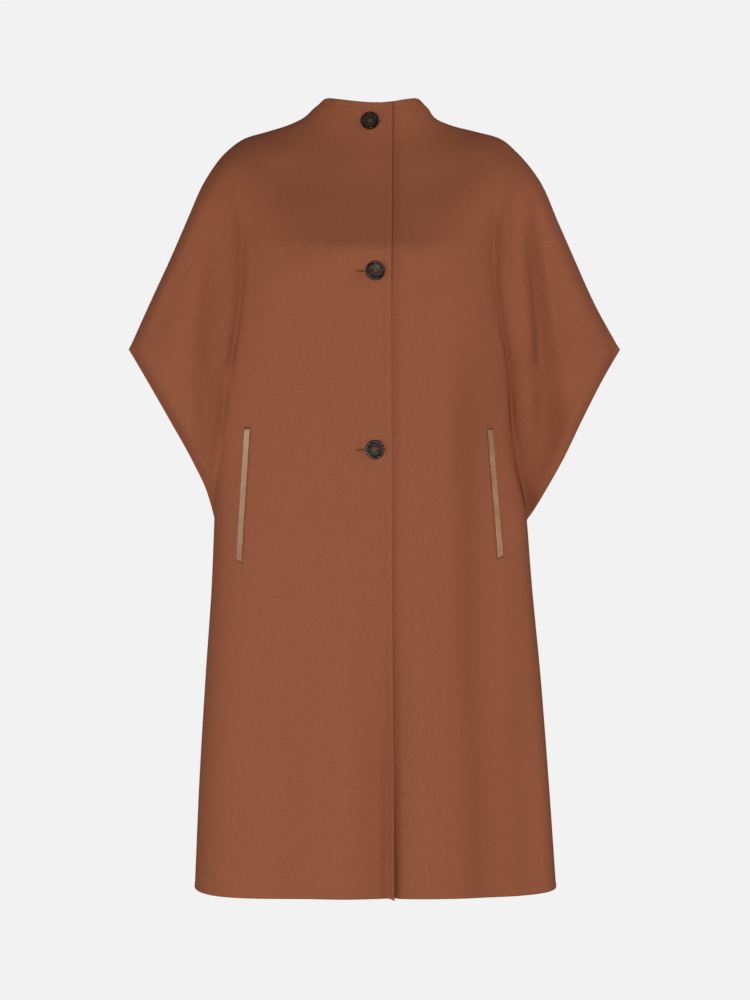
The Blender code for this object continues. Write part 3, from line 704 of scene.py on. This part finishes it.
def grown(name, tree, lines, finish, **sizes):
    """The plain mesh that a tree makes on lines of (point, facing) pairs."""
    points, facings, edges = [], [], []
    for line in lines:
        first = len(points)
        points += [tuple(point) for point, _ in line]
        facings += [tuple(facing) for _, facing in line]
        edges += [(first + step, first + step + 1) for step in range(len(line) - 1)]
    mesh = bpy.data.meshes.new(name)
    mesh.from_pydata(points, edges, [])
    facing = mesh.attributes.new("facing", "FLOAT_VECTOR", "POINT")
    facing.data.foreach_set("vector", np.array(facings).ravel())
    base = add_object(name + "_line", mesh)
    grower = base.modifiers.new("grow", "NODES")
    grower.node_group = tree
    sockets = {item.name: item.identifier for item in tree.interface.items_tree if item.in_out == "INPUT"}
    grower[sockets["Finish"]] = finish
    for size, value in sizes.items():
        grower[sockets[size]] = value
    real = bpy.data.meshes.new_from_object(base.evaluated_get(bpy.context.evaluated_depsgraph_get()))
    real.name = name
    bpy.data.objects.remove(base)
    return add_object(name, real)


def thread_finish(name, dark, light):
    """Twisted thread: fine slanting ridges with a soft sheen."""
    made, tree, shader, place = nodes_of(name)
    lean = mapped(tree, place, Rotation=(0.5, 0.6, 0.7))
    twist = add_node(
        tree, "ShaderNodeTexWave", {"Vector": lean, "Scale": 900.0, "Distortion": 1.5}, output=1
    )
    share = worked_out(tree, "MULTIPLY", twist, noise(tree, place, 2600.0, 2.0))
    feed(tree, shader, {
        "Base Color": mixed(tree, share, dark, light),
        "Normal": bumped(tree, twist, 0.5, 0.00008),
        "Roughness": 0.62,
        "Sheen Weight": 0.03,
        "Specular IOR Level": 0.2,
    })
    return made


stitches = stitch_tree()
thread = thread_tree()
wool_thread = thread_finish("wool thread", (0.20, 0.058, 0.026, 1), (0.36, 0.115, 0.055, 1))


def inside_line(cloth, facing, rows, columns):
    """A line on the inner wall of a cloth, through one row or one column of its grid."""
    depth = -(CLOTH - 0.5 * STITCH_DIP + FELL_LIFT)
    pairs = zip(cloth[rows, columns], facing[rows, columns])
    return [(point + depth * normal, -normal) for point, normal in pairs]


STITCH_STEP = int(np.argmin(np.abs(EDGE_STEPS - STITCH_IN)))
CUFF_CLEAR = 0.2
sewn = {"front_right": right_grid, "front_left": left_grid, "back": back_grid}
for name, cloth in sewn.items():
    facing = facing_out(cloth)
    last = cloth.shape[1] - 1 - STITCH_STEP
    cuff = (places >= SLEEVE_CORNER + CUFF_CLEAR) & (places <= UNDERARM - CUFF_CLEAR)
    cuff = np.flatnonzero(cuff)
    across = np.arange(STITCH_STEP, last + 1)
    down = np.arange(STITCH_STEP, len(places) - STITCH_STEP)
    lines = [
        inside_line(cloth, facing, STITCH_STEP, across),
        inside_line(cloth, facing, len(places) - 1 - STITCH_STEP, across),
        inside_line(cloth, facing, down if name == "front_left" else cuff, STITCH_STEP),
        inside_line(cloth, facing, down if name == "front_right" else cuff, last),
    ]
    felling = grown("felling_" + name, stitches, lines, wool_thread, **FELLING)
    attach(felling, "root")

# ---- The pocket welts ----
# A strip of vegetable-tanned leather edges each slanted pocket. It is pared at its edges, crowned and
# burnished, glued beside the pocket's mouth, and held at both ends by bar tacks of waxed brown thread.

WELT_WIDTH = 0.0074
WELT_THICK = 0.0013
WELT_SLANT = 0.0038
WELT_SEAT = 0.0006
WELT_ROWS = 90
# One half of its outline, across in half widths and out in thicknesses.
WELT_HALF = [
    (-0.96, 0.0), (-1.0, 0.22), (-0.99, 0.52), (-0.95, 0.80), (-0.87, 0.97), (-0.74, 1.05), (-0.50, 1.10),
    (-0.25, 1.13),
]
WELT_PROFILE = WELT_HALF + [(0.0, 1.14)] + [(-across, out) for across, out in WELT_HALF[::-1]]
Welt = namedtuple("Welt", "side top_x top_z low_x low_z burnish_top burnish_low")
# The last two values of each welt say how far its leather is painted from pale toward brown at the top and at
# the low end, a painted highlight along the strip.
WELTS = [
    Welt("right", -0.1700, -0.4145, -0.1812, -0.5885, 0.0, 0.80),
    Welt("left", 0.1545, -0.4145, 0.1690, -0.5835, 0.85, 0.42),
]
# The pocket's mouth is a dark strip of painted shade, reaching so far to each side of the welt's long edge and
# lifted so far off the cloth.
MOUTH_WIDTH = 0.0008
MOUTH_LIFT = 0.00025
TACK_HIGH = 0.0016
TACK_LIFT = 0.0006
TACK_STITCHES = dict(
    Spacing=0.00042, Length=0.00125, Width=0.00046, Height=0.0006,
    Turn=math.radians(90), Unevenness=0.12, Seed=7,
)
# Each tack: how far down the welt, how wide in welt widths, and how far above that place.
TACKS = [(0.0, 1.02, 0.0012), (1.0, 1.10, -WELT_SLANT / 2 - 0.0006)]
LEATHER_PALE = (0.500, 0.287, 0.170, 1)
LEATHER_BROWN = (0.271, 0.109, 0.041, 1)
LEATHER_PORE = (0.200, 0.100, 0.052, 1)


def on_front(x, z):
    """Points of the front's outer side at x and z, and the directions they face."""
    x, z = np.broadcast_arrays(np.asarray(x, float), np.asarray(z, float))

    def reached(x, z):
        spots = np.zeros(x.shape + (3,))
        for side, chosen in (("right", x < 0), ("left", x >= 0)):
            if chosen.any():
                aside, height = np.abs(x[chosen]).reshape(-1, 1), z[chosen].reshape(-1, 1)
                low, high = np.zeros_like(height), np.full_like(height, HEM)
                for _ in range(26):
                    middle = (low + high) / 2
                    above = Half("front", side, middle).points(aside)[..., 2] > height
                    low, high = np.where(above, middle, low), np.where(above, high, middle)
                spots[chosen] = Half("front", side, low).points(aside)[:, 0]
        return spots

    near = 0.003
    across = reached(x + near, z) - reached(x - near, z)
    up = reached(x, z + near) - reached(x, z - near)
    facing = np.cross(across, up)
    return reached(x, z), facing / np.linalg.norm(facing, axis=-1, keepdims=True)


def line_on_front(x, z, lift):
    """A line of (point, facing) pairs, lifted off the front."""
    spot, facing = on_front(x, z)
    return list(zip(spot + facing * lift, facing))


def strip(name, rows, closed, finish):
    """A strip through rows of points, closed round and capped where asked, marked with how far down it is."""
    rows = np.asarray(rows)
    count, ring = rows.shape[:2]
    mesh = bmesh.new()
    verts = [[mesh.verts.new(point) for point in row] for row in rows]
    for upper, lower in zip(verts, verts[1:]):
        for column in range(ring if closed else ring - 1):
            after = (column + 1) % ring
            mesh.faces.new([upper[column], upper[after], lower[after], lower[column]])
    if closed:
        mesh.faces.new(verts[0])
        mesh.faces.new(verts[-1])
        bmesh.ops.recalc_face_normals(mesh, faces=mesh.faces)
    data = bpy.data.meshes.new(name)
    mesh.to_mesh(data)
    mesh.free()
    mark(data, "down", np.repeat(np.linspace(0, 1, count), ring))
    data.materials.append(finish)
    data.shade_smooth()
    return add_object(name, data)


def leather(name, burnish_top, burnish_low):
    """Smooth tan leather: fine pebbled grain with pores and a cloudy tone, and a painted highlight along the
    strip, paler towards one end and browner towards the other.
    """
    made, tree, shader, place = nodes_of(name)
    grain = add_node(tree, "ShaderNodeTexVoronoi", {"Vector": place, "Scale": 1500.0})
    pores = noise(tree, place, 900.0, 3.0)
    down = add_node(tree, "ShaderNodeAttribute", output="Fac", attribute_name="down")
    # Painted highlight: from pale to brown along the strip.
    painted_shade = ranged(tree, down, 0.0, 1.0, burnish_top, burnish_low)
    cloudy = ranged(tree, noise(tree, place, 60.0, 3.0), 0.3, 0.7, -0.22, 0.22)
    share = worked_out(tree, "ADD", painted_shade, cloudy, use_clamp=True)
    colour = mixed(tree, share, LEATHER_PALE, LEATHER_BROWN)
    feed(tree, shader, {
        "Base Color": mixed(tree, ranged(tree, pores, 0.35, 0.65, 0.18, 0.0), colour, LEATHER_PORE),
        "Roughness": ranged(tree, pores, 0.3, 0.7, 0.42, 0.60),
        "Normal": bumped(tree, grain, 0.35, 0.00015),
    })
    return made


def shadowed():
    """The pocket's mouth and the buttonhole slits: a sheet painted near black, as painted shade standing for
    the dark inside them, with a faint nap.
    """
    made, tree, shader, place = nodes_of("painted pocket and slit shade")
    # Painted shade: two near black tones of the wool, mottled.
    nap = mixed(tree, noise(tree, place, 900.0, 2.0), (0.020, 0.006, 0.003, 1), (0.055, 0.018, 0.009, 1))
    feed(tree, shader, {"Base Color": nap, "Roughness": 0.95})
    return made


slit_shade_finish = shadowed()
tack_thread = thread_finish("waxed brown thread", (0.160, 0.055, 0.022, 1), (0.300, 0.110, 0.048, 1))

for line in WELTS:
    inner = 1 if line.side == "right" else -1
    share = np.linspace(0, 1, WELT_ROWS).reshape(-1, 1)
    across, out = np.array(WELT_PROFILE).T
    x = line.top_x + (line.low_x - line.top_x) * share
    z = line.top_z + (line.low_z - line.top_z) * share
    drop = WELT_SLANT * share * (0.5 + inner * across / 2)
    spot, facing = on_front(x + across * WELT_WIDTH / 2, z - drop)
    ends = np.sqrt(np.clip(np.minimum(share, 1 - share) * WELT_ROWS / 2.2, 0.16, 1))
    rows = spot + facing * (WELT_SEAT + out * ends * WELT_THICK)[..., None]
    finish = leather("tan leather " + line.side, line.burnish_top, line.burnish_low)
    welt = strip("leather_welt_" + line.side, rows, True, finish)
    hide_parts("welt_" + line.side)
    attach(welt, "root")

    # The mouth opens along one long side of the welt. It is drawn as a strip of painted shade, the dark that
    # falls inside it.
    near = -inner * (0.5 * WELT_WIDTH + np.array([MOUTH_WIDTH, -MOUTH_WIDTH]))
    spot, facing = on_front(x + near, z)
    rows = spot + facing * MOUTH_LIFT
    mouth = strip("pocket_mouth_painted_shade_" + line.side, rows[:, ::inner], False, slit_shade_finish)
    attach(mouth, "root")

    tacks = []
    for level, wide, high in TACKS:
        for row in np.linspace(-TACK_HIGH / 2, TACK_HIGH / 2, 3):
            reach = np.linspace(-wide / 2, wide / 2, 20) * WELT_WIDTH
            x = line.top_x + (line.low_x - line.top_x) * level + reach
            slant = level * inner * WELT_SLANT * reach / WELT_WIDTH
            z = line.top_z + (line.low_z - line.top_z) * level + high + row - slant
            tacks.append(line_on_front(x, z, TACK_LIFT))
    tack = grown("bar_tacks_" + line.side, stitches, tacks, tack_thread, **TACK_STITCHES)
    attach(tack, "root")

# ---- The buttonholes ----
# Worked in the right front beside its edge with golden brown buttonhole twist: close purl stitches along both
# lips of a slit, which is a dark strip of painted shade, and short bars of thread across its two ends.

PURL = dict(
    Spacing=0.00050, Length=0.0015, Width=0.00052, Height=0.00055,
    Turn=math.radians(90), Unevenness=0.16, Seed=11,
)
PURL_APART = 0.00082
PURL_LIFT = 0.00035
# The slit is a thin strip of painted shade: its width and its lift off the cloth.
SLIT_WIDE = 0.0003
SLIT_LIFT = 0.0004
BAR_HIGH = 0.0013
BAR_LIFT = 0.0005

# Each starts so far inwards of a place on the front and ends so far past it.
Worked = namedtuple("Worked", "x z inwards past")
BUTTONHOLES = {
    "top": Worked(-0.0067, 0.0030, 0.0105, 0.0142),
    "middle": Worked(0.0003, -0.2090, 0.0247, 0.0060),
    "bottom": Worked(0.0, -0.4425, 0.0247, 0.0060),
}
twist = thread_finish("golden brown twist", (0.170, 0.055, 0.012, 1), (0.400, 0.150, 0.036, 1))

for name, worked in BUTTONHOLES.items():
    start, end = worked.x - worked.inwards, worked.x + worked.past
    x = np.linspace(start, end, 60)
    lips = [line_on_front(x, worked.z + lip * PURL_APART, PURL_LIFT) for lip in (-1, 1)]
    purl = grown("buttonhole_" + name, stitches, lips, twist, **PURL)
    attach(purl, "root")
    spot, facing = on_front(x.reshape(-1, 1), worked.z + np.array([-0.5, 0.5]) * SLIT_WIDE)
    # The slit between the lips: a strip in the painted shade finish.
    slit = strip("buttonhole_slit_painted_shade_" + name, spot + facing * SLIT_LIFT, False, slit_shade_finish)
    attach(slit, "root")
    tall = worked.z + np.linspace(-BAR_HIGH, BAR_HIGH, 8)
    ends = [line_on_front(at, tall, BAR_LIFT) for at in (start - 0.0006, start - 0.0001, end + 0.0004)]
    bars = grown("buttonhole_bars_" + name, thread, ends, twist, Thickness=0.0006, Spacing=0.0003)
    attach(bars, "root")

# ---- The buttons ----
# Turned from dark horn with a raised rim and a shallow dish, polished, and sewn on through four holes with
# golden brown twist, crossed in the middle.

BUTTON_WIDTH = 0.0254
BUTTON_STEPS = 72
SEATED = 0.0003
HOLE_WIDTH = 0.0021
HOLE_STEP = 0.0019
Turned = namedtuple("Turned", "inset height")
BUTTON_PROFILE = [Turned(*ring) for ring in (
    (0.0016, 0.0), (0.0009, 0.0003), (0.0003, 0.0010), (0.0000, 0.0019), (0.0001, 0.0027), (0.0005, 0.0034),
    (0.0011, 0.0039), (0.0017, 0.0041), (0.0023, 0.0040), (0.0028, 0.0037), (0.0032, 0.0032), (0.0035, 0.0029),
    (0.0040, 0.0028), (0.0052, 0.0027), (0.0072, 0.0025), (0.0095, 0.0024),
)]
Button = namedtuple("Button", "x z turned")
BUTTONS = {
    "top": Button(-0.0067, 0.003, 0),
    "middle": Button(0.0003, -0.2085, 8),
    "bottom": Button(0.0, -0.442, 24),
}
DISH_INSET = 0.0034
DISH_EDGE = 0.0008
STRAND_WIDE = 0.00052
STRANDS = 3
# The strands bow up between the holes, one pair over the other, and go down into them at their ends.
STRAND_BOW, STRAND_OVER, STRAND_SINK = 0.00055, 0.0002, 0.0009
STRAND_REACH, STRAND_END = 1.06, 0.93
STRAND_APART, STRAND_SPREAD = 0.9, 0.7
HORN_DARK = (0.0110, 0.0044, 0.0020, 1)
HORN_BROWN = (0.0350, 0.0130, 0.0060, 1)
HORN_SMOKE = (0.0240, 0.0165, 0.0105, 1)
HORN_PALE = (0.0900, 0.0830, 0.0600, 1)


def horn(name, seed):
    """Dark horn: a polished rim, near black with brown growth streaks, round a dull and smokier dish."""
    made, tree, shader, place = nodes_of(name)
    lean = mapped(
        tree, place, Location=(seed, 0, seed), Rotation=(0, 0.6 + seed, 0), Scale=(70, 70, 420)
    )
    growth = noise(tree, lean, 1.0, 4.0)
    smoke = noise(tree, place, 160.0, 3.0)
    streak = worked_out(tree, "MULTIPLY", ranged(tree, growth, 0.46, 0.68, 0.0, 1.0), smoke)
    dish = add_node(tree, "ShaderNodeAttribute", output="Fac", attribute_name="dish")
    rim_colour = mixed(tree, streak, HORN_DARK, HORN_BROWN)
    dish_colour = mixed(tree, streak, HORN_SMOKE, HORN_PALE)
    feed(tree, shader, {
        "Base Color": mixed(tree, dish, rim_colour, dish_colour),
        "Roughness": ranged(tree, smoke, 0.3, 0.7, 0.45, 0.60),
        "Coat Weight": ranged(tree, dish, 0.0, 1.0, 0.30, 0.02),
        "Normal": bumped(tree, growth, 0.12, 0.0001),
        "IOR": 1.54,
        "Specular IOR Level": 0.08,
        "Coat Roughness": 0.09,
    })
    return made


def seat_of(placed):
    """Where a button sits: the turn and place that lay its flat back on the front, just clear of it."""
    spot, facing = (Vector(found) for found in on_front(placed.x, placed.z))
    up = facing.cross(Vector((1, 0, 0))).normalized()
    across = up.cross(facing)
    foot = BUTTON_WIDTH / 2 - BUTTON_PROFILE[0].inset
    round_ = np.linspace(0, math.tau, 32, endpoint=False)
    places = np.array(spot) + foot * (np.outer(np.cos(round_), across) + np.outer(np.sin(round_), up))
    under = on_front(places[:, 0], places[:, 2])[0]
    lift = max(0.0, ((under - np.array(spot)) @ np.array(facing)).max())
    stand = Matrix((across, up, facing)).transposed().to_4x4()
    turn = Matrix.Rotation(math.radians(placed.turned), 4, "Z")
    return Matrix.Translation(spot + facing * (lift + SEATED)) @ stand @ turn


def turned_button(name, finish):
    """A turned button with four holes whose edges are eased."""
    radius = BUTTON_WIDTH / 2
    rings = [(radius - turned.inset, turned.height) for turned in BUTTON_PROFILE]
    rings = [(0, rings[0][1])] + rings + [(0, rings[-1][1])]
    mesh = bmesh.new()
    verts = [mesh.verts.new((ring, 0, height)) for ring, height in rings]
    edges = [mesh.edges.new(pair) for pair in zip(verts, verts[1:])]
    around = dict(cent=(0, 0, 0), axis=(0, 0, 1), angle=math.tau, steps=BUTTON_STEPS, use_duplicate=False)
    bmesh.ops.spin(mesh, geom=verts + edges, **around)
    bmesh.ops.remove_doubles(mesh, verts=mesh.verts, dist=1e-6)
    bmesh.ops.recalc_face_normals(mesh, faces=mesh.faces)
    data = bpy.data.meshes.new(name)
    mesh.to_mesh(data)
    mesh.free()
    drill = bmesh.new()
    for across, along in ((-1, -1), (-1, 1), (1, -1), (1, 1)):
        bmesh.ops.create_cone(
            drill,
            cap_ends=True,
            segments=20,
            radius1=HOLE_WIDTH / 2,
            radius2=HOLE_WIDTH / 2,
            depth=0.012,
            matrix=Matrix.Translation((across * HOLE_STEP, along * HOLE_STEP, 0.002)),
        )
    cutter_mesh = bpy.data.meshes.new(name + "_holes")
    drill.to_mesh(cutter_mesh)
    drill.free()
    cutter = add_object(name + "_holes", cutter_mesh)
    blank = add_object(name + "_blank", data)
    cut = blank.modifiers.new("holes", "BOOLEAN")
    cut.object = cutter
    cut.operation = "DIFFERENCE"
    ease = blank.modifiers.new("eased", "BEVEL")
    ease.width = 0.00022
    ease.segments = 2
    ease.limit_method = "ANGLE"
    ease.angle_limit = math.radians(55)
    real = bpy.data.meshes.new_from_object(blank.evaluated_get(bpy.context.evaluated_depsgraph_get()))
    for part in (cutter, blank):
        bpy.data.objects.remove(part)
    real.name = name
    radii = np.array([math.hypot(vertex.co.x, vertex.co.y) for vertex in real.vertices])
    dished = smooth_step((radius - DISH_INSET - radii) / DISH_EDGE)
    mark(real, "dish", dished)
    real.materials.clear()
    real.materials.append(finish)
    real.shade_smooth()
    real.set_sharp_from_angle(angle=math.radians(40))
    return add_object(name, real)


for number, (name, placed) in enumerate(BUTTONS.items()):
    seat = seat_of(placed)
    button = turned_button("horn_button_" + name, horn("dark horn " + name, 0.37 * (number + 1)))
    button.data.transform(seat)
    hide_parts("button_" + name)
    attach(button, "root")
    top = BUTTON_PROFILE[-1].height
    strands = []
    for across, along in ((1, 1), (1, -1)):
        for strand in range(STRANDS):
            aside = (strand - (STRANDS - 1) / 2) * STRAND_WIDE * STRAND_APART
            share = np.linspace(-1, 1, 15)
            over = STRAND_OVER if along < 0 else 0.0
            bow = STRAND_BOW * (1 - share**6) + over * (1 - share**2)
            sink = np.where(np.abs(share) > STRAND_END, -STRAND_SINK, 0.0)
            x = across * share * HOLE_STEP * STRAND_REACH - along * aside * STRAND_SPREAD
            y = along * share * HOLE_STEP * STRAND_REACH + across * aside * STRAND_SPREAD
            line = [seat @ Vector((px, py, top + pz)) for px, py, pz in zip(x, y, bow + sink)]
            strands.append([(point, seat.to_3x3() @ Vector((0, 0, 1))) for point in line])
    sewn_on = grown("button_thread_" + name, thread, strands, twist, Thickness=STRAND_WIDE, Spacing=0.0003)
    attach(sewn_on, "root")

# ---- The studio ----
# A plain pale floor and a background of the same tone. Round soft boxes stand about the coat: the main one
# in front at the height of the hem, one at each side, one high on the wearer's left, two small ones low in
# front, a weak one above the shoulders and one behind.

FLOOR_Z = -1.40
FLOOR_REACH = 40.0
PALE = 0.888
FLOOR_BOUNCE = 0.09
ROOM_LIGHT = 0.12


def glow(tree, kind, colour, strength, ends_in):
    """A pale glow to the camera, and one of another colour and strength to the coat."""
    seen = add_node(tree, kind, {"Color": (PALE, PALE, PALE, 1), "Strength": 1.0})
    given = add_node(tree, kind, {"Color": colour, "Strength": strength})
    ray = add_node(tree, "ShaderNodeLightPath", output="Is Camera Ray")
    add_node(tree, ends_in, {"Surface": add_node(tree, "ShaderNodeMixShader", {0: ray, 1: given, 2: seen})})


corners = [(x * FLOOR_REACH, y * FLOOR_REACH, FLOOR_Z) for x, y in ((-1, -1), (1, -1), (1, 1), (-1, 1))]
floor_mesh = bpy.data.meshes.new("floor")
floor_mesh.from_pydata(corners, [], [(0, 1, 2, 3)])
floor_finish = bpy.data.materials.new("pale floor")
floor_finish.use_nodes = True
floor_finish.node_tree.nodes.clear()
bounce = (PALE, PALE, PALE, 1)
glow(floor_finish.node_tree, "ShaderNodeEmission", bounce, FLOOR_BOUNCE, "ShaderNodeOutputMaterial")
floor_mesh.materials.append(floor_finish)
floor = add_object("floor", floor_mesh)
floor.visible_shadow = False

world = bpy.data.worlds.new("studio")
bpy.context.scene.world = world
world.use_nodes = True
world.node_tree.nodes.clear()
glow(world.node_tree, "ShaderNodeBackground", (1, 1, 1, 1), ROOM_LIGHT, "ShaderNodeOutputWorld")

# Each round soft box looks at the coat's middle.
MIDDLE = Vector((0, 0, -0.5))
SoftBox = namedtuple("SoftBox", "x y z wide power")
SOFT_BOXES = {
    "front": SoftBox(0.0, -4.0, -0.99, 0.8, 87),
    "right": SoftBox(-3.9, -0.7, -0.5, 1.6, 40),
    "left": SoftBox(3.9, -0.7, -0.5, 1.6, 22.5),
    "left_high": SoftBox(3.0, -1.2, 1.8, 1.6, 36),
    "right_low": SoftBox(-2.2, -2.2, -1.32, 1.0, 15.5),
    "left_low": SoftBox(2.2, -2.2, -1.32, 1.0, 4),
    "above": SoftBox(0.0, 1.0, 2.6, 1.0, 3.5),
    "behind": SoftBox(0.0, 4.0, 0.2, 2.0, 70),
}
for name, box in SOFT_BOXES.items():
    data = bpy.data.lights.new(name, "AREA")
    data.shape = "DISK"
    data.size = box.wide
    data.energy = box.power
    light = add_object(name, data)
    light.location = (box.x, box.y, box.z)
    light.rotation_euler = (MIDDLE - light.location).to_track_quat("-Z", "Y").to_euler()
    light.visible_camera = False

CAMERA_BACK = 4.0
CAMERA_Z = -0.509
VIEW_HIGH = 1.375
camera_data = bpy.data.cameras.new("camera")
camera_data.sensor_width = 36
camera_data.lens = camera_data.sensor_width * CAMERA_BACK / VIEW_HIGH
camera = add_object("camera", camera_data)
camera.location = (0, -CAMERA_BACK, CAMERA_Z)
camera.rotation_euler = (math.pi / 2, 0, 0)
bpy.context.scene.camera = camera
bpy.context.scene.view_settings.view_transform = "Standard"
